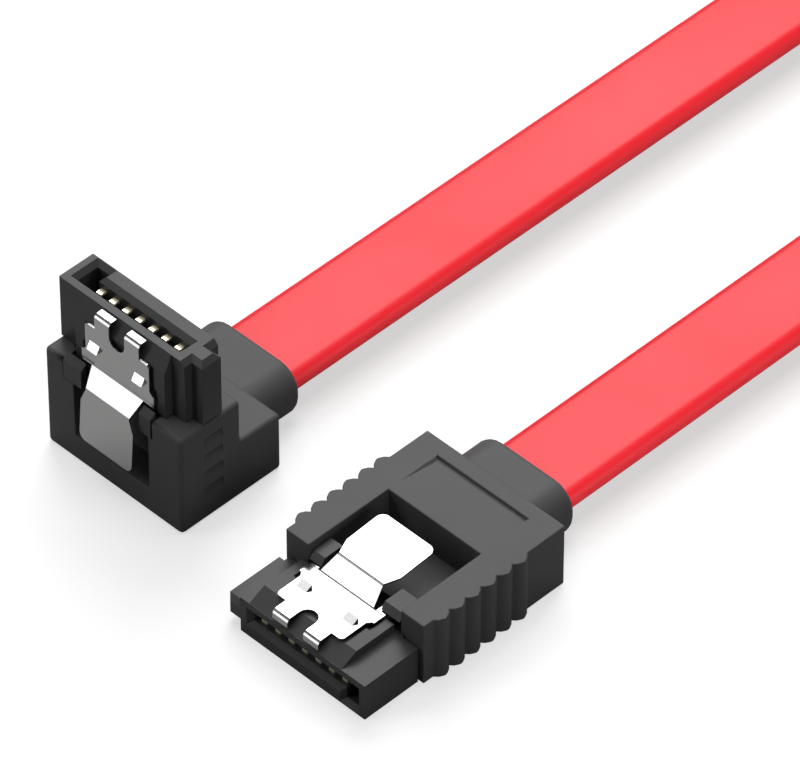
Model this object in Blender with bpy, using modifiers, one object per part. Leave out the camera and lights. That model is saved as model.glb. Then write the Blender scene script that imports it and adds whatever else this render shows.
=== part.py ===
"""Flat data cable with a straight and a right-angle plug, both with a sprung metal latch.

The two ends of one cable lie side by side, their leads parallel to Y. Each plug is drawn in
its own mating frame: X runs across the plug, Y goes from the mating face into the plug and
Z points to the latch. The right-angle plug uses the same parts, turned to face upwards.
"""
import bpy
import bmesh
from math import cos, hypot, pi, radians, sin, tan
from mathutils import Vector

MM = 0.001

# Plug nose, the insulator that enters the socket
NOSE_WIDTH = 12.12 * MM
NOSE_HEIGHT = 3.14 * MM
STRAIGHT_NOSE_LENGTH = 5.07 * MM
ANGLE_NOSE_LENGTH = 5.53 * MM
RIB_REACH = 0.98 * MM
RIB_BOTTOM = 0.70 * MM
RIB_TOP = 2.44 * MM
LEAD_IN = 0.38 * MM
SLOT_WIDTH = 9.90 * MM
SLOT_SHIFT = 0.20 * MM
SLOT_DEPTH = 4.70 * MM
SLOT_BOTTOM = 1.35 * MM
SLOT_TOP = 2.57 * MM
KEY_WIDTH = 1.10 * MM
KEY_BOTTOM = 0.43 * MM
TAIL_WIDTH = 9.20 * MM
TAIL_BOTTOM = 0.90 * MM
TAIL_END = 7.10 * MM

# Raised bed of the latch on the nose, and the two lugs that hold the latch down
LATCH_SHIFT = -0.49 * MM
BED_WIDTH = 8.68 * MM
BED_RISE = 0.70 * MM
BED_SLOPE = 1.45 * MM
BED_RELIEF_START = 1.20 * MM
BED_RELIEF_ANGLE = radians(6.5)
LUG_FRONT = 5.07 * MM
LUG_LEAN = 0.40 * MM
LUG_TOP = 4.72 * MM
LUG_POST = 0.75 * MM
LUG_SHIFT = -0.33 * MM
LUG_SPACE = 5.66 * MM

# Latch, one bent strip of spring steel
SHEET = 0.15 * MM
BED_GAP = 0.10 * MM
BEND_RADIUS = 0.32 * MM
HOOK_FRONT = 0.10 * MM
HOOK_WIDTH = 1.40 * MM
NOTCH_WIDTH = 1.50 * MM
NOTCH_END = 1.95 * MM
PLATE_WIDTH = 6.20 * MM
PLATE_START = 1.30 * MM
WING_START = 3.60 * MM
WING_WIDTH = 7.00 * MM
WING_INNER = 5.50 * MM
WING_END = 6.15 * MM
RAMP_START = 4.85 * MM
RAMP_END = 6.20 * MM
RAMP_BASE_WIDTH = 5.00 * MM
RAMP_TOP_WIDTH = 4.18 * MM
PAD_FRONT_LEVEL = 5.05 * MM
PAD_REAR_LEVEL = 5.38 * MM
PAD_WIDTH = 5.10 * MM
PAD_SHOULDER = 7.35 * MM
PAD_END = 10.75 * MM
PAD_CORNER = 0.60 * MM
BARB_SPACING = 4.36 * MM
BARB_WIDTH = 0.95 * MM
BARB_START = 2.70 * MM
BARB_LENGTH = 0.60 * MM
BARB_RISE = 0.32 * MM
PIVOT_DEPTH = 0.30 * MM
PIVOT_LEVEL = 3.50 * MM

# Contacts, seven gold-plated spring strips
CONTACT_COUNT = 7
CONTACT_PITCH = 1.27 * MM
CONTACT_SHIFT = -0.22 * MM
CONTACT_WIDTH = 0.60 * MM
CONTACT_SHEET = 0.20 * MM
CONTACT_LEVEL = 2.60 * MM
CONTACT_TIP = 0.62 * MM
CONTACT_RISE = 0.72 * MM
CONTACT_CREST = 1.40 * MM
CONTACT_CURL = 0.32 * MM
CONTACT_DIP = 0.95 * MM
CONTACT_ROOT = 3.60 * MM

# Moulded body of the straight plug
BODY_WIDTH = 12.98 * MM
BODY_LENGTH = 13.37 * MM
BODY_HEIGHT = 5.40 * MM
WINDOW_WIDTH = 8.68 * MM
WINDOW_LENGTH = 7.51 * MM
WINDOW_FLOOR = 2.24 * MM
GRIP_COUNT = 6
GRIP_PITCH = 1.48 * MM
GRIP_START = 0.90 * MM
GRIP_REACH = 0.45 * MM
PANEL_WIDTH = 8.60 * MM
PANEL_LENGTH = 3.55 * MM
PANEL_MARGIN = 1.24 * MM
PANEL_DEPTH = 0.28 * MM

# Moulded body of the right-angle plug
BLOCK_LEFT = 6.15 * MM
BLOCK_RIGHT = 7.10 * MM
BLOCK_DEPTH = 9.41 * MM
BLOCK_STEP = 5.69 * MM
BLOCK_HEIGHT = 8.81 * MM
BLOCK_REAR_HEIGHT = 5.06 * MM
BLOCK_EDGE = 0.35 * MM
BLOCK_FACE = 4.68 * MM
BLOCK_WINDOW_WIDTH = 7.26 * MM
BLOCK_WINDOW_SHIFT = -0.29 * MM
BLOCK_WINDOW_END = 12.07 * MM
MARK_COUNT = 4
MARK_PITCH = 1.53 * MM
MARK_START = 2.20 * MM
MARK_LENGTH = 1.75 * MM
MARK_HEIGHT = 0.85 * MM
MARK_DEPTH = 0.30 * MM
MARK_TOP = 1.25 * MM

# Strain relief, moulded in one with each body
RELIEF_WIDTH = 8.80 * MM
RELIEF_HEIGHT = 4.40 * MM
RELIEF_CORNER = 1.90 * MM
RELIEF_EDGE = 0.55 * MM
STRAIGHT_RELIEF_LENGTH = 3.30 * MM
ANGLE_RELIEF_LENGTH = 4.00 * MM
ANGLE_RELIEF_SHIFT = 0.60 * MM

# Flat cable
CABLE_WIDTH = 7.20 * MM
CABLE_THICKNESS = 1.80 * MM
CABLE_LEVEL = 2.75 * MM
CABLE_SEAT = 1.20 * MM

# Placing of the two ends
PLUG_SPACING = 21.95 * MM
FACE_OFFSET = 3.40 * MM

# Clearances
FIT = 0.10 * MM
CABLE_FIT = 0.15 * MM
OVERCUT = 0.50 * MM

# Route of the cable's middle line beyond the straight leads, seen from above, as
# (distance to the right of the middle between the leads, distance from the straight
# plug's mating face, height of the middle line above the surface, turn onto its edge).
LEAD_END = 80.0 * MM
ROUTE = (
    (9.9, 91.0, 2.85, 6), (7.6, 103.0, 3.3, 30), (4.1, 115.0, 4.0, 65), (1.7, 126.0, 4.6, 88),
    (1.1, 134.0, 4.65, 90), (1.7, 142.0, 4.6, 90), (4.6, 152.0, 4.2, 90), (9.6, 163.0, 3.85, 90),
    (15.2, 174.0, 3.75, 90), (19.9, 185.0, 3.75, 90), (22.4, 196.0, 3.75, 90),
    (22.9, 207.0, 3.75, 90), (20.6, 217.3, 3.75, 90), (13.2, 226.1, 3.75, 90),
)
ROUTE_TOP = 230.4 * MM
ROUTE_WAIST = 1.1 * MM
TIE_PLACE = 134.0 * MM
TIE_WIDTH = 6.00 * MM
TIE_SHEET = 0.90 * MM

for old in list(bpy.data.objects):
    bpy.data.objects.remove(old)
parts = bpy.data.collections.new("data_cable")
cutters = bpy.data.collections.new("cutters")
bpy.context.scene.collection.children.link(parts)
bpy.context.scene.collection.children.link(cutters)


def material(name, colour, roughness, metallic=0.0):
    """A Principled material with one colour."""
    made = bpy.data.materials.new(name)
    made.use_nodes = True
    shader = made.node_tree.nodes["Principled BSDF"]
    shader.inputs["Base Color"].default_value = (*colour, 1.0)
    shader.inputs["Roughness"].default_value = roughness
    shader.inputs["Metallic"].default_value = metallic
    return made


def frame_at(name, location, rotation=(0.0, 0.0, 0.0)):
    """An empty that carries the pieces of one plug."""
    empty = bpy.data.objects.new(name, None)
    empty.empty_display_size = 2 * MM
    empty.location = location
    empty.rotation_euler = rotation
    parts.objects.link(empty)
    return empty


def place(name, mesh, frame, look=None):
    """Puts a mesh in the scene: as a part with its own look, or as a cutter without one."""
    piece = bpy.data.objects.new(name, mesh)
    piece.parent = frame
    if look:
        parts.objects.link(piece)
        mesh.materials.append(look.copy())
    else:
        cutters.objects.link(piece)
        piece.hide_render = True
        piece.display_type = "WIRE"
    return piece


def move_origin(piece, point):
    """Puts a piece's origin at a point of its frame and leaves its mesh where it is."""
    for vertex in piece.data.vertices:
        vertex.co -= Vector(point)
    piece.location = point


def prism(outline, axis, low, high):
    """A flat outline extruded along one axis, as a closed mesh.

    The outline is in (X, Z) along Y, in (Y, Z) along X and in (X, Y) along Z.
    """
    curve = bpy.data.curves.new("outline", "CURVE")
    curve.dimensions = "2D"
    curve.fill_mode = "BOTH"
    curve.extrude = (high - low) / 2
    spline = curve.splines.new("POLY")
    spline.points.add(len(outline) - 1)
    for point, (x, y) in zip(spline.points, outline):
        point.co = (x, y, 0.0, 1.0)
    spline.use_cyclic_u = True
    drawn = bpy.data.objects.new("outline", curve)
    middle = (low + high) / 2
    drawn.location = {"X": (middle, 0, 0), "Y": (0, middle, 0), "Z": (0, 0, middle)}[axis]
    drawn.rotation_euler = {
        "X": (pi / 2, 0, pi / 2),
        "Y": (pi / 2, 0, 0),
        "Z": (0, 0, 0),
    }[axis]
    cutters.objects.link(drawn)
    bpy.context.view_layer.update()
    evaluated = drawn.evaluated_get(bpy.context.evaluated_depsgraph_get())
    mesh = bpy.data.meshes.new_from_object(evaluated)
    mesh.transform(drawn.matrix_world)
    bpy.data.objects.remove(drawn)
    shape = bmesh.new()
    shape.from_mesh(mesh)
    bmesh.ops.remove_doubles(shape, verts=shape.verts, dist=0.001 * MM)
    bmesh.ops.dissolve_limit(shape, angle_limit=radians(1), verts=shape.verts, edges=shape.edges)
    bmesh.ops.recalc_face_normals(shape, faces=shape.faces)
    shape.to_mesh(mesh)
    shape.free()
    return mesh


def block(low, high):
    """A box between two corners."""
    low, high = Vector(low), Vector(high)
    shape = bmesh.new()
    bmesh.ops.create_cube(shape, size=1.0)
    bmesh.ops.scale(shape, vec=high - low, verts=shape.verts)
    bmesh.ops.translate(shape, vec=(low + high) / 2, verts=shape.verts)
    mesh = bpy.data.meshes.new("block")
    shape.to_mesh(mesh)
    shape.free()
    return mesh


def loft(loops):
    """A closed body through loops with equal numbers of points."""
    shape = bmesh.new()
    rings = [[shape.verts.new(point) for point in loop] for loop in loops]
    for lower, upper in zip(rings, rings[1:]):
        for index in range(len(lower)):
            after = (index + 1) % len(lower)
            shape.faces.new((lower[index], lower[after], upper[after], upper[index]))
    shape.faces.new(rings[0])
    shape.faces.new(rings[-1])
    bmesh.ops.recalc_face_normals(shape, faces=shape.faces)
    mesh = bpy.data.meshes.new("loft")
    shape.to_mesh(mesh)
    shape.free()
    return mesh


def combine(piece, mesh, operation):
    """Cuts a shape from a piece, joins it to the piece or keeps what both share."""
    tool = place(f"{piece.name}_{operation.lower()}", mesh, piece.parent)
    modifier = piece.modifiers.new(operation.title(), "BOOLEAN")
    modifier.operation = operation
    modifier.object = tool
    return modifier


def cut(piece, mesh):
    return combine(piece, mesh, "DIFFERENCE")


def join(piece, mesh):
    return combine(piece, mesh, "UNION")


def rounded_path(corners, radii, steps=4, closed=True):
    """Replaces the corners of a path with arcs; a radius of 0 keeps a corner sharp."""
    path = []
    count = len(corners)
    for index, (corner, radius) in enumerate(zip(corners, radii)):
        corner = Vector(corner)
        at_end = not closed and index in (0, count - 1)
        if radius == 0 or at_end:
            path.append(tuple(corner))
            continue
        before = (Vector(corners[index - 1]) - corner).normalized()
        after = (Vector(corners[(index + 1) % count]) - corner).normalized()
        half_angle = before.angle(after) / 2
        reach = radius / tan(half_angle)
        middle = corner + (before + after).normalized() * radius / sin(half_angle)
        start = corner + before * reach - middle
        end = corner + after * reach - middle
        for step in range(steps + 1):
            spoke = start.lerp(end, step / steps).normalized() * radius
            path.append(tuple(middle + spoke))
    return path


def strip_outline(path, thickness):
    """The side view of a bent sheet around its middle line."""
    sides = ([], [])
    for index, point in enumerate(path):
        before = Vector(path[max(index - 1, 0)])
        after = Vector(path[min(index + 1, len(path) - 1)])
        along = (after - before).normalized()
        across = Vector((-along.y, along.x)) * thickness / 2
        sides[0].append(tuple(Vector(point) + across))
        sides[1].append(tuple(Vector(point) - across))
    return sides[0] + sides[1][::-1]


def rounded_rectangle(width, height, corner, steps=5):
    """Points of a rounded rectangle around the origin."""
    points = []
    for quarter in range(4):
        turn = quarter * pi / 2
        side = 1 if quarter in (0, 3) else -1
        rise = 1 if quarter in (0, 1) else -1
        for step in range(steps + 1):
            angle = turn + step / steps * pi / 2
            x = side * (width / 2 - corner) + corner * cos(angle)
            z = rise * (height / 2 - corner) + corner * sin(angle)
            points.append((x, z))
    return points


def make_insulator(prefix, frame, nose_length, look):
    """The black insulator: keyed nose, rib, latch bed, two lugs and a tail inside the body."""
    half = NOSE_WIDTH / 2
    nose_end = nose_length - FIT
    # The rib and the side that carries it slope in towards the mating face.
    nose = []
    for distance, inset in ((0, LEAD_IN), (LEAD_IN, 0), (nose_end, 0)):
        side = -half + inset
        rib = -half - RIB_REACH + inset
        nose.append([
            (half, distance, 0), (half, distance, NOSE_HEIGHT), (side, distance, NOSE_HEIGHT),
            (side, distance, RIB_TOP - inset), (rib, distance, RIB_TOP - inset),
            (rib, distance, RIB_BOTTOM + inset), (side, distance, RIB_BOTTOM + inset),
            (side, distance, 0),
        ])
    piece = place(f"{prefix}_insulator", loft(nose), frame, look)

    bed_top = NOSE_HEIGHT + BED_RISE
    bed = [
        (0.02 * MM, NOSE_HEIGHT / 2), (0.02 * MM, NOSE_HEIGHT), (BED_SLOPE, bed_top),
        (nose_end - FIT / 10, bed_top), (nose_end - FIT / 10, NOSE_HEIGHT / 2),
    ]
    bed_left = LATCH_SHIFT - BED_WIDTH / 2
    join(piece, prism(bed, "X", bed_left, bed_left + BED_WIDTH))
    tail_low = (-TAIL_WIDTH / 2, nose_end - LEAD_IN, TAIL_BOTTOM)
    join(piece, block(tail_low, (TAIL_WIDTH / 2, TAIL_END, NOSE_HEIGHT - FIT / 10)))

    # Each lug is a bracket whose roof hangs over a wing of the latch.
    roof = bed_top + BED_GAP + SHEET + FIT
    lug = [
        (LUG_FRONT, roof), (LUG_FRONT + LUG_LEAN, LUG_TOP), (TAIL_END - FIT / 10, LUG_TOP),
        (TAIL_END - FIT / 10, NOSE_HEIGHT / 2), (TAIL_END - LUG_POST, NOSE_HEIGHT / 2),
        (TAIL_END - LUG_POST, roof),
    ]
    outer = WINDOW_WIDTH / 2 - FIT
    join(piece, prism(lug, "X", -outer, LUG_SHIFT - LUG_SPACE / 2))
    join(piece, prism(lug, "X", LUG_SHIFT + LUG_SPACE / 2, outer))

    # Under the plate the bed falls away to the rear, which lets the latch go down.
    deep = (nose_length - BED_RELIEF_START) * tan(BED_RELIEF_ANGLE)
    relief = [
        (BED_RELIEF_START, bed_top), (nose_length, bed_top - deep),
        (nose_length, bed_top + FIT), (BED_RELIEF_START, bed_top + FIT),
    ]
    plate_side = PLATE_WIDTH / 2 + 2 * FIT
    cut(piece, prism(relief, "X", LATCH_SHIFT - plate_side, LATCH_SHIFT + plate_side))
    start = WING_START - 2 * FIT
    shallow = (start - BED_RELIEF_START) * tan(BED_RELIEF_ANGLE)
    wing_relief = [(start, bed_top - shallow), *relief[1:3], (start, bed_top + FIT)]
    wing_side = WING_WIDTH / 2 + FIT
    cut(piece, prism(wing_relief, "X", LATCH_SHIFT - wing_side, LATCH_SHIFT + wing_side))

    # Keyed slot with a sloped rim on its lower sides
    left = SLOT_SHIFT - SLOT_WIDTH / 2
    right = SLOT_SHIFT + SLOT_WIDTH / 2
    slot = []
    for distance, spread in ((-OVERCUT, LEAD_IN + OVERCUT), (LEAD_IN, 0), (SLOT_DEPTH, 0)):
        slot.append([
            (left - spread, distance, SLOT_TOP),
            (left - spread, distance, SLOT_BOTTOM - spread),
            (right - KEY_WIDTH - spread, distance, SLOT_BOTTOM - spread),
            (right - KEY_WIDTH - spread, distance, KEY_BOTTOM - spread),
            (right + spread, distance, KEY_BOTTOM - spread),
            (right + spread, distance, SLOT_TOP),
        ])
    cut(piece, loft(slot))

    # One channel for each contact, from behind the slot's lip to the end of the tail
    lip = CONTACT_TIP - CONTACT_SHEET / 2 - FIT
    for index in range(CONTACT_COUNT):
        middle = contact_place(index)
        width = CONTACT_WIDTH / 2 + FIT
        low = CONTACT_LEVEL - CONTACT_SHEET / 2 - FIT
        high = CONTACT_LEVEL + CONTACT_SHEET / 2 + FIT
        cut(piece, block((middle - width, lip, low), (middle + width, TAIL_END + OVERCUT, high)))
    return piece


def contact_place(index):
    """Distance of a contact from the middle of the nose."""
    return CONTACT_SHIFT + (index - (CONTACT_COUNT - 1) / 2) * CONTACT_PITCH


def make_contacts(prefix, frame, look):
    """Spring strips with upturned ends that bow into the slot and pass through the tail."""
    crest = CONTACT_LEVEL - CONTACT_DIP
    corners = [
        (CONTACT_TIP, crest + CONTACT_RISE), (CONTACT_TIP, crest), (CONTACT_CREST, crest),
        (CONTACT_ROOT, CONTACT_LEVEL), (TAIL_END, CONTACT_LEVEL),
    ]
    radii = (0, CONTACT_CURL, CONTACT_CURL, 4 * CONTACT_CURL, 0)
    path = rounded_path(corners, radii, closed=False)
    outline = strip_outline(path, CONTACT_SHEET)
    for index in range(CONTACT_COUNT):
        middle = contact_place(index)
        mesh = prism(outline, "X", middle - CONTACT_WIDTH / 2, middle + CONTACT_WIDTH / 2)
        place(f"{prefix}_contact_{index + 1}", mesh, frame, look)


def make_latch(prefix, frame, look):
    """The sprung latch: two hooks, a plate with barbs and wings, a ramp and a press pad."""
    level = NOSE_HEIGHT + BED_RISE + BED_GAP + SHEET / 2
    hook = (HOOK_FRONT, NOSE_HEIGHT + 2 * FIT)
    corners = [
        hook, (HOOK_FRONT, level), (RAMP_START, level),
        (RAMP_END, PAD_FRONT_LEVEL), (PAD_END, PAD_REAR_LEVEL),
    ]
    path = rounded_path(corners, (0, BEND_RADIUS, BEND_RADIUS, BEND_RADIUS, 0), closed=False)
    side_view = strip_outline(path, SHEET)
    piece = place(
        f"{prefix}_latch",
        prism(side_view, "X", LATCH_SHIFT - WING_WIDTH / 2, LATCH_SHIFT + WING_WIDTH / 2),
        frame,
        look,
    )

    # Half of the plan, from the notch between the hooks round to the end of the pad
    notch = NOTCH_WIDTH / 2
    corner = 0.3 * MM
    half = [
        (notch, -OVERCUT, 0), (notch + HOOK_WIDTH, -OVERCUT, 0),
        (notch + HOOK_WIDTH, PLATE_START, 0), (PLATE_WIDTH / 2, PLATE_START, corner),
        (PLATE_WIDTH / 2, WING_START, 0),
        (WING_WIDTH / 2 - SHEET, WING_START + corner, 0),
        (WING_WIDTH / 2 - SHEET, RAMP_START, 0), (RAMP_BASE_WIDTH / 2, RAMP_START, 0),
        (RAMP_TOP_WIDTH / 2, RAMP_END, corner), (PAD_WIDTH / 2, PAD_SHOULDER, corner),
        (PAD_WIDTH / 2, PAD_END, PAD_CORNER),
    ]
    right = [(LATCH_SHIFT + x, y) for x, y, radius in half]
    left = [(LATCH_SHIFT - x, y) for x, y, radius in half[::-1]]
    radii = [radius for x, y, radius in half]
    bottom = []
    for step in range(1, 8):
        angle = pi + step / 8 * pi
        bottom.append((LATCH_SHIFT + notch * cos(angle), NOTCH_END - notch - notch * sin(angle)))
    plan = rounded_path(
        right + left + [(LATCH_SHIFT - notch, NOTCH_END - notch), *bottom,
                        (LATCH_SHIFT + notch, NOTCH_END - notch)],
        radii + radii[::-1] + [0] * (len(bottom) + 2),
    )
    combine(piece, prism(plan, "Z", 0, 2 * BODY_HEIGHT), "INTERSECT")

    # Wings reach back under the lugs, on both sides of the ramp.
    for way in (-1, 1):
        inner = LATCH_SHIFT + way * WING_INNER / 2
        outer = LATCH_SHIFT + way * WING_WIDTH / 2
        low = (min(inner, outer), WING_START + corner, level - SHEET / 2)
        high = (max(inner, outer), WING_END, level + SHEET / 2)
        join(piece, block(low, high))

    # Barbs slope up towards the rear and catch in the socket's windows.
    barb = [
        (BARB_START, level), (BARB_START, level + SHEET / 2),
        (BARB_START + BARB_LENGTH, level + SHEET / 2 + BARB_RISE),
        (BARB_START + BARB_LENGTH, level),
    ]
    for way in (-1, 1):
        middle = LATCH_SHIFT + way * BARB_SPACING / 2
        join(piece, prism(barb, "X", middle - BARB_WIDTH / 2, middle + BARB_WIDTH / 2))
    move_origin(piece, (LATCH_SHIFT, PIVOT_DEPTH, PIVOT_LEVEL))
    return piece


def cut_seat(piece, frame, nose_length):
    """Opens a body for the insulator's tail and lugs, drawn in the plug's mating frame."""
    rear = TAIL_END + FIT
    for width, bottom, top in (
        (TAIL_WIDTH + 2 * FIT, TAIL_BOTTOM - FIT, NOSE_HEIGHT + FIT),
        (WINDOW_WIDTH, NOSE_HEIGHT, BODY_HEIGHT + OVERCUT),
    ):
        low = (-width / 2, nose_length - OVERCUT, bottom)
        seat = cut(piece, block(low, (width / 2, rear, top)))
        seat.object.parent = frame


def relief_loops(start, end, middle, level):
    """Rounded sections of a strain relief along Y, drawn in towards its end."""
    loops = []
    for distance, inset in (
        (start, 0.0), (end - RELIEF_EDGE, 0.0), (end - 0.3 * RELIEF_EDGE, 0.3 * RELIEF_EDGE),
        (end, RELIEF_EDGE),
    ):
        corner = RELIEF_CORNER - inset
        section = rounded_rectangle(RELIEF_WIDTH - 2 * inset, RELIEF_HEIGHT - 2 * inset, corner)
        loops.append([(middle + x, distance, level + z) for x, z in section])
    return loops


def cable_hole(end, middle, level):
    """The mouth in a strain relief that the cable sits in."""
    width = CABLE_WIDTH + 2 * CABLE_FIT
    height = CABLE_THICKNESS + 2 * CABLE_FIT
    section = rounded_rectangle(width, height, height / 2 - 0.01 * MM)
    outline = [(middle + x, level + z) for x, z in section]
    return prism(outline, "Y", end - CABLE_SEAT - CABLE_FIT, end + OVERCUT)


def make_straight_body(frame, look):
    """The straight plug's body: scalloped grips, latch window, sloped panel and relief."""
    front = STRAIGHT_NOSE_LENGTH
    rear = front + BODY_LENGTH
    half = BODY_WIDTH / 2
    right = [(half, front)]
    steps = 6
    for rib in range(GRIP_COUNT):
        start = front + GRIP_START + rib * GRIP_PITCH
        for step in range(steps + (rib == GRIP_COUNT - 1)):
            share = step / steps
            right.append((half + GRIP_REACH * sin(pi * share) ** 0.7, start + share * GRIP_PITCH))
    right.append((half, rear))
    outline = right + [(-x, y) for x, y in right[::-1]]
    piece = place("straight_overmold", prism(outline, "Z", 0, BODY_HEIGHT), frame, look)
    relief_end = rear + STRAIGHT_RELIEF_LENGTH
    join(piece, loft(relief_loops(rear - OVERCUT, relief_end, 0, CABLE_LEVEL)))
    window_low = (-WINDOW_WIDTH / 2, front - OVERCUT, WINDOW_FLOOR)
    window_high = (WINDOW_WIDTH / 2, front + WINDOW_LENGTH, BODY_HEIGHT + OVERCUT)
    cut(piece, block(window_low, window_high))
    cut_seat(piece, frame, front)
    panel_rear = rear - PANEL_MARGIN
    panel = [
        (panel_rear - PANEL_LENGTH, BODY_HEIGHT), (panel_rear, BODY_HEIGHT - PANEL_DEPTH),
        (panel_rear, BODY_HEIGHT + OVERCUT), (panel_rear - PANEL_LENGTH, BODY_HEIGHT + OVERCUT),
    ]
    cut(piece, prism(panel, "X", -PANEL_WIDTH / 2, PANEL_WIDTH / 2))
    cut(piece, cable_hole(relief_end, 0, CABLE_LEVEL))
    return relief_end


def make_angle_body(frame, mating_frame, look):
    """The right-angle plug's body: a stepped block with window, side marks and relief."""
    outline = [
        (0, 0), (BLOCK_DEPTH, 0), (BLOCK_DEPTH, BLOCK_REAR_HEIGHT),
        (BLOCK_STEP, BLOCK_REAR_HEIGHT), (BLOCK_STEP, BLOCK_HEIGHT), (0, BLOCK_HEIGHT),
    ]
    piece = place("angle_overmold", prism(outline, "X", -BLOCK_LEFT, BLOCK_RIGHT), frame, look)
    bevel = piece.modifiers.new("Bevel", "BEVEL")
    bevel.width = BLOCK_EDGE
    bevel.segments = 3
    bevel.limit_method = "ANGLE"
    relief_end = BLOCK_DEPTH + ANGLE_RELIEF_LENGTH
    loops = relief_loops(BLOCK_DEPTH - OVERCUT, relief_end, ANGLE_RELIEF_SHIFT, CABLE_LEVEL)
    join(piece, loft(loops))

    side = BLOCK_WINDOW_WIDTH / 2
    low = (BLOCK_WINDOW_SHIFT - side, ANGLE_NOSE_LENGTH - OVERCUT, WINDOW_FLOOR)
    high = (BLOCK_WINDOW_SHIFT + side, BLOCK_WINDOW_END, BODY_HEIGHT + OVERCUT)
    window = cut(piece, block(low, high))
    window.object.parent = mating_frame
    cut_seat(piece, mating_frame, ANGLE_NOSE_LENGTH)

    for index in range(MARK_COUNT):
        top = BLOCK_HEIGHT - MARK_TOP - index * MARK_PITCH
        for wall, way in ((BLOCK_RIGHT, 1), (-BLOCK_LEFT, -1)):
            mark = [
                (wall - way * MARK_DEPTH, top), (wall + way * OVERCUT, top),
                (wall + way * OVERCUT, top - MARK_HEIGHT), (wall, top - MARK_HEIGHT),
            ]
            cut(piece, prism(mark, "Y", MARK_START, MARK_START + MARK_LENGTH))
    cut(piece, cable_hole(relief_end, ANGLE_RELIEF_SHIFT, CABLE_LEVEL))
    return relief_end


def smooth_points(points, step):
    """Evenly spaced points of a Catmull-Rom curve through the given points."""
    points = [points[0] * 2 - points[1], *points, points[-1] * 2 - points[-2]]
    dense = []
    for before, start, end, after in zip(points, points[1:], points[2:], points[3:]):
        for share in (index / 20 for index in range(20)):
            square = share * share
            cube = square * share
            dense.append(0.5 * (
                2 * start + (end - before) * share
                + (2 * before - 5 * start + 4 * end - after) * square
                + (3 * start - before - 3 * end + after) * cube
            ))
    dense.append(points[-2])
    length = sum((b.xyz - a.xyz).length for a, b in zip(dense, dense[1:]))
    count = round(length / step)
    chosen = [dense[0]]
    run = 0.0
    for a, b in zip(dense, dense[1:]):
        run += (b.xyz - a.xyz).length
        if run >= length * len(chosen) / count:
            chosen.append(b)
    chosen[-1] = dense[-1]
    return chosen, length


def make_cable(angle_start, straight_start, look):
    """The flat cable, from the right-angle plug's relief round to the straight plug's."""
    middle = (angle_start.x + straight_start.x) / 2
    half = (straight_start.x - angle_start.x) / 2
    face = straight_face
    right = [(half, straight_start.y, CABLE_LEVEL, 0.0)]
    lead = straight_start.y
    while lead < face + LEAD_END:
        lead += 12 * MM
        right.append((half, min(lead, face + LEAD_END), CABLE_LEVEL, 0.0))
    for x, y, z, turn in ROUTE:
        right.append((x * MM, face + y * MM, z * MM, radians(turn)))
    top = (0.0, face + ROUTE_TOP, CABLE_WIDTH / 2 + CABLE_FIT, radians(90))
    left = [(-x, y, z, turn) for x, y, z, turn in right]
    left[0] = (-half, angle_start.y, CABLE_LEVEL, 0.0)
    route = [Vector(point) for point in left + [top] + right[::-1]]
    points, length = smooth_points(route, 6.2 * MM)

    curve = bpy.data.curves.new("cable", "CURVE")
    curve.dimensions = "3D"
    curve.twist_mode = "Z_UP"
    spline = curve.splines.new("POLY")
    spline.points.add(len(points) - 1)
    for point, at in zip(spline.points, points):
        point.co = (middle + at.x, at.y, at.z, 1.0)
        point.tilt = pi / 2 - at.w
    curve.extrude = (CABLE_WIDTH - CABLE_THICKNESS) / 2
    curve.bevel_depth = CABLE_THICKNESS / 2
    curve.bevel_resolution = 2
    curve.use_fill_caps = True
    cable = bpy.data.objects.new("cable", curve)
    parts.objects.link(cable)
    curve.materials.append(look.copy())
    return middle


def make_tie(middle, look):
    """A strap round the two runs of the cable where they stand side by side on edge."""
    width = 2 * ROUTE_WAIST + CABLE_THICKNESS + 2 * CABLE_FIT
    height = CABLE_WIDTH + 2 * CABLE_FIT
    level = height / 2 + TIE_SHEET
    start = straight_face + TIE_PLACE - TIE_WIDTH / 2
    loops = []
    for grow, low, high in ((TIE_SHEET, 0, TIE_WIDTH), (0, -OVERCUT, TIE_WIDTH + OVERCUT)):
        corner = TIE_SHEET / 2 + grow
        section = rounded_rectangle(width + 2 * grow, height + 2 * grow, corner, 3)
        outline = [(middle + x, level + z) for x, z in section]
        loops.append(prism(outline, "Y", start + low, start + high))
    tie = place("cable_tie", loops[0], None, look)
    cut(tie, loops[1])


# Looks
insulator_black = material("insulator_black", (0.045, 0.045, 0.046), 0.42)
body_black = material("body_black", (0.06, 0.06, 0.062), 0.5)
spring_steel = material("spring_steel", (0.80, 0.80, 0.79), 0.22, 1.0)
contact_gold = material("contact_gold", (0.95, 0.80, 0.42), 0.25, 1.0)
cable_red = material("cable_red", (0.78, 0.03, 0.05), 0.4)
tie_black = material("tie_black", (0.02, 0.02, 0.02), 0.6)

# The origin is the middle of the two plugs, on the surface that they lie on.
left_reach = PLUG_SPACING + BLOCK_LEFT
right_reach = BODY_WIDTH / 2 + GRIP_REACH
straight_middle = (left_reach - right_reach) / 2
straight_face = -(STRAIGHT_NOSE_LENGTH + BODY_LENGTH + STRAIGHT_RELIEF_LENGTH) / 2
straight_frame = frame_at("straight_plug", (straight_middle, straight_face, 0))
angle_frame = frame_at(
    "angle_plug", (straight_middle - PLUG_SPACING, straight_face + FACE_OFFSET, 0)
)
angle_mating = frame_at(
    "angle_mating_face",
    (
        straight_middle - PLUG_SPACING,
        straight_face + FACE_OFFSET + BLOCK_FACE,
        BLOCK_HEIGHT + ANGLE_NOSE_LENGTH,
    ),
    (-pi / 2, 0, pi),
)

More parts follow.
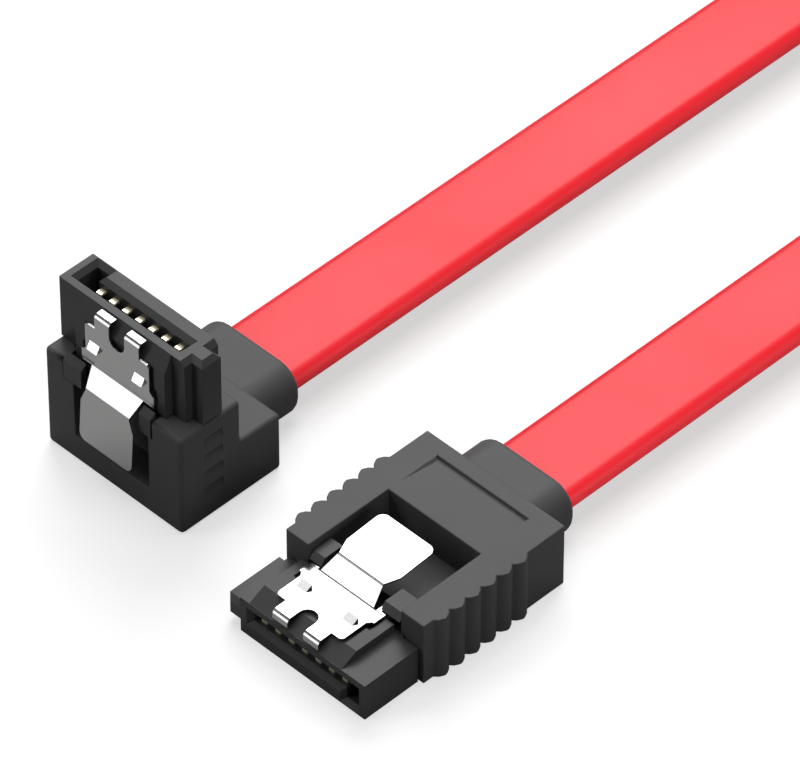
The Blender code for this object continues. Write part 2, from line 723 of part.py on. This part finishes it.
for prefix, frame, nose_length in (
    ("straight", straight_frame, STRAIGHT_NOSE_LENGTH),
    ("angle", angle_mating, ANGLE_NOSE_LENGTH),
):
    make_insulator(prefix, frame, nose_length, insulator_black)
    make_contacts(prefix, frame, contact_gold)
    make_latch(prefix, frame, spring_steel)
straight_end = make_straight_body(straight_frame, body_black)
angle_end = make_angle_body(angle_frame, angle_mating, body_black)
straight_exit = straight_frame.location + Vector((0, straight_end - CABLE_SEAT, 0))
angle_exit = angle_frame.location + Vector((ANGLE_RELIEF_SHIFT, angle_end - CABLE_SEAT, 0))
cable_middle = make_cable(angle_exit, straight_exit, cable_red)
make_tie(cable_middle, tie_black)
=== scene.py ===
from math import cos, pi, radians, sin

import bpy
import bmesh
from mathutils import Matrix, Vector


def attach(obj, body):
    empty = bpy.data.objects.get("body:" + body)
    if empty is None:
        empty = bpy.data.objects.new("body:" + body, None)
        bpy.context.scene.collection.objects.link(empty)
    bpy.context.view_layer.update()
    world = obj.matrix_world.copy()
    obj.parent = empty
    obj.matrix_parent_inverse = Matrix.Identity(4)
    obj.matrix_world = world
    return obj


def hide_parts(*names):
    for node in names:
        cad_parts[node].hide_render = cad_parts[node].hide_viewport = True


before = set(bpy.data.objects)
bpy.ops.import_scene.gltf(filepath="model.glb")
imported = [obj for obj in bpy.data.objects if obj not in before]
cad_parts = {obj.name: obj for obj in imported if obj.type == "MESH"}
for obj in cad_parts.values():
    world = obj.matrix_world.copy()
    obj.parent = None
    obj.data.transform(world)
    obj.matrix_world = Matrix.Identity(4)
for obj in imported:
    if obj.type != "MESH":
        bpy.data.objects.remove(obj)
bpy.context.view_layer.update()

MM = 0.001
bpy.ops.object.select_all(action="DESELECT")


# Viewpoint: a long lens looks down on the two plugs from the front right, so that both
# leads run off the frame at the upper right.
camera_data = bpy.data.cameras.new("viewpoint")
camera_data.lens = 358.3
camera_data.sensor_width = 36.0
camera_data.clip_start = 0.01
camera = bpy.data.objects.new("viewpoint", camera_data)
camera.location = (0.27573, -0.26667, 0.3796)
camera.rotation_euler = (radians(46.22), 0.0, radians(45.0))
bpy.context.scene.collection.objects.link(camera)
bpy.context.scene.camera = camera
bpy.context.scene.view_settings.view_transform = "Standard"


# Cable: a flat jacket of soft red PVC over two pairs of conductors. It leaves both plugs
# side by side, and the spare length is folded once, on its edge, inside the strap.
CABLE_WIDTH = 7.20 * MM
CABLE_THICKNESS = 1.80 * MM
CABLE_LEVEL = 2.75 * MM
CABLE_STEP = 3.1 * MM
FACE = -10.87 * MM
MIDDLE = -0.095 * MM
LEAD_SPACING = 21.35 * MM
STRAIGHT_EXIT = 20.54 * MM
ANGLE_EXIT = 15.61 * MM
LEAD_END = 80.0 * MM
LEAD_POINTS = 5
LEAD_STEP = 12 * MM
# Points beyond the flat leads, in millimetres: across from the middle, along from the mating
# face and the level, with the turn of the jacket about its own length in degrees.
ROUTE = (
    (9.9, 91.0, 2.85, 6), (7.6, 103.0, 3.3, 30), (4.1, 115.0, 4.0, 65), (1.7, 126.0, 4.6, 88),
    (1.1, 134.0, 4.65, 90), (1.7, 142.0, 4.6, 90), (4.6, 152.0, 4.2, 90), (9.6, 163.0, 3.85, 90),
    (15.2, 174.0, 3.75, 90), (19.9, 185.0, 3.75, 90), (22.4, 196.0, 3.75, 90),
    (22.9, 207.0, 3.75, 90), (20.6, 217.3, 3.75, 90), (13.2, 226.1, 3.75, 90),
)
ROUTE_TOP = (0.0, 230.4, 3.75, 90)
DENSE_STEPS = 20


def route_point(across, along, level, turn):
    """A point of the route in metres, with the jacket's turn as its fourth value."""
    return Vector((across * MM, along * MM, level * MM, radians(turn)))


def even_points(route, step):
    """Evenly spaced points of one smooth curve through the route, and its length."""
    route = [route[0] * 2 - route[1], *route, route[-1] * 2 - route[-2]]
    dense = []
    for before, start, end, after in zip(route, route[1:], route[2:], route[3:]):
        for index in range(DENSE_STEPS):
            share = index / DENSE_STEPS
            dense.append(0.5 * (
                2 * start + (end - before) * share
                + (2 * before - 5 * start + 4 * end - after) * share ** 2
                + (3 * start - before - 3 * end + after) * share ** 3
            ))
    dense.append(route[-2])
    length = sum((b.xyz - a.xyz).length for a, b in zip(dense, dense[1:]))
    count = round(length / step)
    chosen = [dense[0]]
    run = 0.0
    for a, b in zip(dense, dense[1:]):
        run += (b.xyz - a.xyz).length
        if run >= length * len(chosen) / count:
            chosen.append(b)
    chosen[-1] = dense[-1]
    return chosen, length


lead = []
for step in range(LEAD_POINTS):
    along = STRAIGHT_EXIT + LEAD_STEP * step
    lead.append(Vector((LEAD_SPACING / 2, along, CABLE_LEVEL, 0.0)))
lead.append(Vector((LEAD_SPACING / 2, LEAD_END, CABLE_LEVEL, 0.0)))
lead.extend(route_point(*row) for row in ROUTE)
other_lead = [Vector((-point.x, *point.yzw)) for point in lead]
other_lead[0].y = ANGLE_EXIT
whole_route = [*other_lead, route_point(*ROUTE_TOP), *reversed(lead)]
points, cable_length = even_points(whole_route, CABLE_STEP)

cable_data = bpy.data.curves.new("red_cable", "CURVE")
cable_data.dimensions = "3D"
cable_data.twist_mode = "Z_UP"
cable_data.extrude = (CABLE_WIDTH - CABLE_THICKNESS) / 2
cable_data.bevel_depth = CABLE_THICKNESS / 2
cable_data.bevel_resolution = 5
cable_data.use_fill_caps = True
spline = cable_data.splines.new("POLY")
spline.points.add(len(points) - 1)
for point, at in zip(spline.points, points):
    point.co = (MIDDLE + at.x, FACE + at.y, at.z, 1.0)
    point.tilt = pi / 2 - at.w
spline.use_smooth = True
cable = bpy.data.objects.new("red_cable", cable_data)
bpy.context.scene.collection.objects.link(cable)


def new_material(name):
    """A plain new material, with its node tree and its Principled shader."""
    material = bpy.data.materials.new(name)
    material.use_nodes = True
    return material, material.node_tree, material.node_tree.nodes["Principled BSDF"]


# The fine, uneven skin of moulded, extruded or rolled material: a small pebbled height and
# a roughness that drifts a little from place to place.
skin = bpy.data.node_groups.new("uneven_skin", "ShaderNodeTree")
for label, value in (
    ("Grain Size", 0.1), ("Drift Size", 4.0), ("Roughness", 0.4), ("Drift", 0.05)
):
    socket = skin.interface.new_socket(label, in_out="INPUT", socket_type="NodeSocketFloat")
    socket.default_value = value
for label in ("Height", "Roughness"):
    skin.interface.new_socket(label, in_out="OUTPUT", socket_type="NodeSocketFloat")
skin_in = skin.nodes.new("NodeGroupInput")
skin_out = skin.nodes.new("NodeGroupOutput")
place = skin.nodes.new("ShaderNodeTexCoord")


def noise(size_name, detail):
    """The group's noise with the named size in millimetres, on the piece's coordinates."""
    scale = skin.nodes.new("ShaderNodeMath")
    scale.operation = "DIVIDE"
    scale.inputs[0].default_value = 1.0 / MM
    texture = skin.nodes.new("ShaderNodeTexNoise")
    texture.inputs["Detail"].default_value = detail
    skin.links.new(place.outputs["Object"], texture.inputs["Vector"])
    skin.links.new(skin_in.outputs[size_name], scale.inputs[1])
    skin.links.new(scale.outputs[0], texture.inputs["Scale"])
    return texture.outputs["Fac"]


centred = skin.nodes.new("ShaderNodeMath")
centred.operation = "SUBTRACT"
centred.inputs[1].default_value = 0.5
spread = skin.nodes.new("ShaderNodeMath")
spread.operation = "MULTIPLY_ADD"
skin.links.new(noise("Drift Size", 3.0), centred.inputs[0])
skin.links.new(centred.outputs[0], spread.inputs[0])
skin.links.new(skin_in.outputs["Drift"], spread.inputs[1])
skin.links.new(skin_in.outputs["Roughness"], spread.inputs[2])
skin.links.new(noise("Grain Size", 2.0), skin_out.inputs["Height"])
skin.links.new(spread.outputs[0], skin_out.inputs["Roughness"])


def add_skin(tree, shader, grain_size, depth, roughness, drift_size, drift):
    """Gives a finish the uneven skin, with both sizes and the depth in millimetres."""
    node = tree.nodes.new("ShaderNodeGroup")
    node.node_tree = skin
    node.inputs["Grain Size"].default_value = grain_size
    node.inputs["Drift Size"].default_value = drift_size
    node.inputs["Roughness"].default_value = roughness
    node.inputs["Drift"].default_value = drift
    bump = tree.nodes.new("ShaderNodeBump")
    bump.inputs["Distance"].default_value = depth * MM
    tree.links.new(node.outputs["Height"], bump.inputs["Height"])
    tree.links.new(bump.outputs["Normal"], shader.inputs["Normal"])
    tree.links.new(node.outputs["Roughness"], shader.inputs["Roughness"])


jacket, tree, shader = new_material("red_jacket")
shader.inputs["Base Color"].default_value = (0.98, 0.026, 0.042, 1.0)
shader.inputs["Specular IOR Level"].default_value = 0.28
shader.inputs["Subsurface Weight"].default_value = 0.6
shader.inputs["Subsurface Radius"].default_value = (1.0, 0.1, 0.08)
shader.inputs["Subsurface Scale"].default_value = 1.5 * MM
add_skin(
    tree, shader,
    grain_size=0.25, depth=0.004, roughness=0.38, drift_size=9.0, drift=0.12,
)
cable_data.materials.append(jacket)
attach(cable, "root")
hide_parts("cable")


# Strap: a short length of woven black tape, closed round both runs of the cable where
# they stand on edge, beyond the part of the leads that lies flat.
strap, tree, shader = new_material("black_strap")
shader.inputs["Base Color"].default_value = (0.018, 0.018, 0.02, 1.0)
shader.inputs["Sheen Weight"].default_value = 0.3
add_skin(
    tree, shader,
    grain_size=0.4, depth=0.06, roughness=0.8, drift_size=3.0, drift=0.1,
)
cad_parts["cable_tie"].data.materials.clear()
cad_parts["cable_tie"].data.materials.append(strap)


# Plug bodies: each is one shot of black PVC round the insulator and the end of the cable,
# with edges that the mould rounds slightly and a satin skin.
SHARP_EDGE = radians(25)
SMOOTH_BEND = radians(50)
FLAT = radians(1)
WIDTHS_OF_ROOM = 3
BODY_ROUNDING = 0.09 * MM
SHORTEST_FACET = 0.03 * MM


def mark_edges(mesh, width):
    """Marks the sharp edges that have room to be rounded by this width."""
    shape = bmesh.new()
    shape.from_mesh(mesh)
    weight = shape.edges.layers.float.new("bevel_weight_edge")
    narrow = set()
    for face in shape.faces:
        longest = max(edge.calc_length() for edge in face.edges)
        if face.calc_area() < WIDTHS_OF_ROOM * width * longest:
            narrow.add(face.index)
    for edge in shape.edges:
        sharp = len(edge.link_faces) == 2 and edge.calc_face_angle(0.0) > SHARP_EDGE
        if sharp and not any(face.index in narrow for face in edge.link_faces):
            edge[weight] = 1.0
    shape.to_mesh(mesh)
    shape.free()


def copy_of(name, node, body, material):
    """A finished piece with the shape of a CAD node, in its place."""
    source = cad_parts[node]
    piece = source.copy()
    piece.data = source.data.copy()
    piece.name = name
    piece.data.name = name
    # The copy is a piece of its own, so it gives up the marks of the CAD node.
    for mark in list(piece.keys()):
        del piece[mark]
    piece.parent = None
    bpy.context.scene.collection.objects.link(piece)
    piece.data.materials.clear()
    piece.data.materials.append(material)
    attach(piece, body)
    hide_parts(node)
    return piece


def choose(piece):
    """Makes a piece the only chosen object."""
    bpy.ops.object.select_all(action="DESELECT")
    bpy.context.view_layer.objects.active = piece
    piece.select_set(True)


def smooth_faces(piece):
    """Shades a piece's small bends smooth and leaves its flat faces flat."""
    choose(piece)
    bpy.ops.object.shade_smooth_by_angle(angle=SMOOTH_BEND)
    weighted = piece.modifiers.new("flat_faces", "WEIGHTED_NORMAL")
    weighted.weight = 100
    weighted.keep_sharp = True
    bpy.ops.object.modifier_apply(modifier=weighted.name)
    piece.select_set(False)


def soften(piece, width):
    """Merges a piece's smallest facets and rounds its edges by this width."""
    choose(piece)
    bpy.ops.object.mode_set(mode="EDIT")
    bpy.ops.mesh.select_all(action="SELECT")
    bpy.ops.mesh.remove_doubles(threshold=SHORTEST_FACET)
    bpy.ops.mesh.dissolve_limited(angle_limit=FLAT)
    bpy.ops.object.mode_set(mode="OBJECT")
    mark_edges(piece.data, width)
    bevel = piece.modifiers.new("rounding", "BEVEL")
    bevel.width = width
    bevel.segments = 2
    bevel.limit_method = "WEIGHT"
    bevel.use_clamp_overlap = False
    bpy.ops.object.modifier_apply(modifier=bevel.name)
    smooth_faces(piece)


body_black, tree, shader = new_material("satin_body_black")
shader.inputs["Base Color"].default_value = (0.109, 0.109, 0.110, 1.0)
shader.inputs["Specular IOR Level"].default_value = 0.12
add_skin(
    tree, shader,
    grain_size=0.12, depth=0.006, roughness=0.46, drift_size=5.0, drift=0.08,
)
for prefix in ("straight", "angle"):
    shell = copy_of(f"{prefix}_body", f"{prefix}_overmold", "root", body_black)
    soften(shell, BODY_ROUNDING)


# Insulators: glass-filled black plastic with crisp moulded edges. Each carries the keyed
# slot, the rib, the bed of the latch and the two lugs that hold the latch down.
insulator_black, tree, shader = new_material("insulator_black")
shader.inputs["Base Color"].default_value = (0.070, 0.070, 0.071, 1.0)
shader.inputs["Specular IOR Level"].default_value = 0.16
add_skin(
    tree, shader,
    grain_size=0.06, depth=0.003, roughness=0.34, drift_size=3.0, drift=0.08,
)
for prefix in ("straight", "angle"):
    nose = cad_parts[f"{prefix}_insulator"]
    nose.data.materials.clear()
    nose.data.materials.append(insulator_black)


# Latches: stamped from thin stainless spring strip and bent, with bright rolled faces. The two
# barbs get a paler steel, which is a painted highlight. Hooks and wings hold each one in the bed
# of its insulator.
# Each plug's name, the side that its latch is on, and the way that its mouth points.
PLUG_SIDES = (
    ("straight", Vector((0, 0, 1)), Vector((0, -1, 0))),
    ("angle", Vector((0, -1, 0)), Vector((0, 0, 1))),
)
BARB_SLOPE = radians(28.07)
bright_steel, tree, shader = new_material("bright_spring_steel")
shader.inputs["Base Color"].default_value = (0.45, 0.45, 0.446, 1.0)
shader.inputs["Metallic"].default_value = 1.0
add_skin(
    tree, shader,
    grain_size=0.3, depth=0.0005, roughness=0.15, drift_size=2.0, drift=0.05,
)
# A paler steel for the barbs only: a painted highlight where the barbs catch the light.
barb_highlight_steel, tree, shader = new_material("barb_painted_highlight_steel")
shader.inputs["Base Color"].default_value = (0.90, 0.90, 0.88, 1.0)
shader.inputs["Metallic"].default_value = 1.0
add_skin(
    tree, shader,
    grain_size=0.3, depth=0.0005, roughness=0.20, drift_size=2.0, drift=0.05,
)
for prefix, outward, forward in PLUG_SIDES:
    spring = copy_of(
        f"{prefix}_spring_latch", f"{prefix}_latch", f"{prefix}_latch", bright_steel
    )
    spring.data.materials.append(barb_highlight_steel)
    slope = outward * cos(BARB_SLOPE) + forward * sin(BARB_SLOPE)
    barbs = [face.index for face in spring.data.polygons if face.normal.angle(slope) < FLAT]
    smooth_faces(spring)
    # The barb faces take the paler steel, a painted highlight, and stay flat shaded.
    for index in barbs:
        face = spring.data.polygons[index]
        face.material_index = 1
        face.use_smooth = False


# Contacts: seven narrow strips of plated spring alloy, pressed side by side into each slot
# and bowed towards the socket's tongue, with tips that stand off the slot's wall.
CONTACTS = 7
NARROWED = 0.80
TIP_SHIFT = 0.49 * MM
TIP_DEPTHS = {"straight": 0.10 * MM, "angle": 0.30 * MM}
plating, tree, shader = new_material("gold_plating")
shader.inputs["Base Color"].default_value = (1.0, 0.91, 0.64, 1.0)
shader.inputs["Metallic"].default_value = 0.35
add_skin(
    tree, shader,
    grain_size=0.2, depth=0.001, roughness=0.22, drift_size=1.0, drift=0.05,
)
for prefix, outward, forward in PLUG_SIDES:
    shift = -outward * TIP_SHIFT - forward * TIP_DEPTHS[prefix]
    for number in range(1, CONTACTS + 1):
        node = f"{prefix}_contact_{number}"
        blade = copy_of(f"{prefix}_blade_{number}", node, "root", plating)
        places = [vertex.co.copy() for vertex in blade.data.vertices]
        middle = sum(place.x for place in places) / len(places)
        reaches = [place.dot(forward) for place in places]
        for vertex, place, reach in zip(blade.data.vertices, places, reaches):
            share = (reach - min(reaches)) / (max(reaches) - min(reaches))
            place.x = middle + (place.x - middle) * NARROWED
            vertex.co = place + shift * share


# Studio: a pale table under wide soft lights from behind and from above. Smaller cards round
# it are there for the bent steel to mirror, and one lamp reaches only the cable.
def mixed(tree, factor, first, second):
    """The output of a mix of two shaders, by a number or by an output."""
    mix = tree.nodes.new("ShaderNodeMixShader")
    if isinstance(factor, float):
        mix.inputs["Fac"].default_value = factor
    else:
        tree.links.new(factor, mix.inputs["Fac"])
    tree.links.new(first, mix.inputs[1])
    tree.links.new(second, mix.inputs[2])
    return mix.outputs[0]


bpy.ops.mesh.primitive_plane_add(size=6.0, location=(0.0, 0.0, 0.0))
table = bpy.context.object
table.name = "pale_table"
table_white = bpy.data.materials.new("pale_table")
table_white.use_nodes = True
tree = table_white.node_tree
tree.nodes.clear()
seen = tree.nodes.new("ShaderNodeLightPath")
tones = {}
for label, value in (("bounced", 0.14), ("mirrored", 0.52), ("direct", 0.94)):
    tone = tree.nodes.new("ShaderNodeBsdfDiffuse")
    tone.inputs["Color"].default_value = (value, value, value, 1.0)
    tones[label] = tone.outputs[0]
white = tree.nodes.new("ShaderNodeEmission")
white.inputs["Strength"].default_value = 1.36
glossy_seen = seen.outputs["Is Glossy Ray"]
camera_seen = seen.outputs["Is Camera Ray"]
indirect = mixed(tree, glossy_seen, tones["bounced"], tones["mirrored"])
direct = mixed(tree, 0.45, tones["direct"], white.outputs[0])
output = tree.nodes.new("ShaderNodeOutputMaterial")
tree.links.new(mixed(tree, camera_seen, indirect, direct), output.inputs["Surface"])
table.data.materials.append(table_white)


def softbox(name, location, width, height, power):
    """A soft light at a place, turned to the two plugs."""
    light = bpy.data.lights.new(name, "AREA")
    light.shape = "RECTANGLE"
    light.size = width
    light.size_y = height
    light.energy = power
    lamp = bpy.data.objects.new(name, light)
    lamp.location = location
    lamp.rotation_euler = Vector(location).to_track_quat("Z", "Y").to_euler()
    bpy.context.scene.collection.objects.link(lamp)
    return lamp


softbox("back_light", (-0.46, 0.55, 0.77), 0.66, 0.66, 7.8)
softbox("top_light", (0.0, 0.05, 0.95), 0.50, 0.50, 3.0)
softbox("high_card", (-0.434, -0.511, 0.522), 0.24, 0.24, 0.58)
softbox("barb_card", (-0.434, -0.247, 0.686), 0.12, 0.12, 0.08)
softbox("low_card", (-0.44, -0.70, 0.19), 0.16, 0.40, 0.54)
softbox("side_card", (0.66, -0.06, 0.18), 0.30, 0.30, 0.62)
edge_light = softbox("edge_light", (0.49, 0.10, 0.10), 0.20, 0.20, 1.1)
lit_by_edge_light = bpy.data.collections.new("lit_by_edge_light")
lit_by_edge_light.objects.link(cable)
edge_light.light_linking.receiver_collection = lit_by_edge_light
edge_light.data.specular_factor = 0.1

world = bpy.data.worlds.new("studio")
world.use_nodes = True
bpy.context.scene.world = world
tree = world.node_tree
tree.nodes.clear()
fill = tree.nodes.new("ShaderNodeBackground")
fill.inputs["Strength"].default_value = 0.035
backdrop = tree.nodes.new("ShaderNodeBackground")
backdrop.inputs["Strength"].default_value = 1.0
camera_seen = tree.nodes.new("ShaderNodeLightPath").outputs["Is Camera Ray"]
sky = mixed(tree, camera_seen, fill.outputs[0], backdrop.outputs[0])
output = tree.nodes.new("ShaderNodeOutputWorld")
tree.links.new(sky, output.inputs["Surface"])
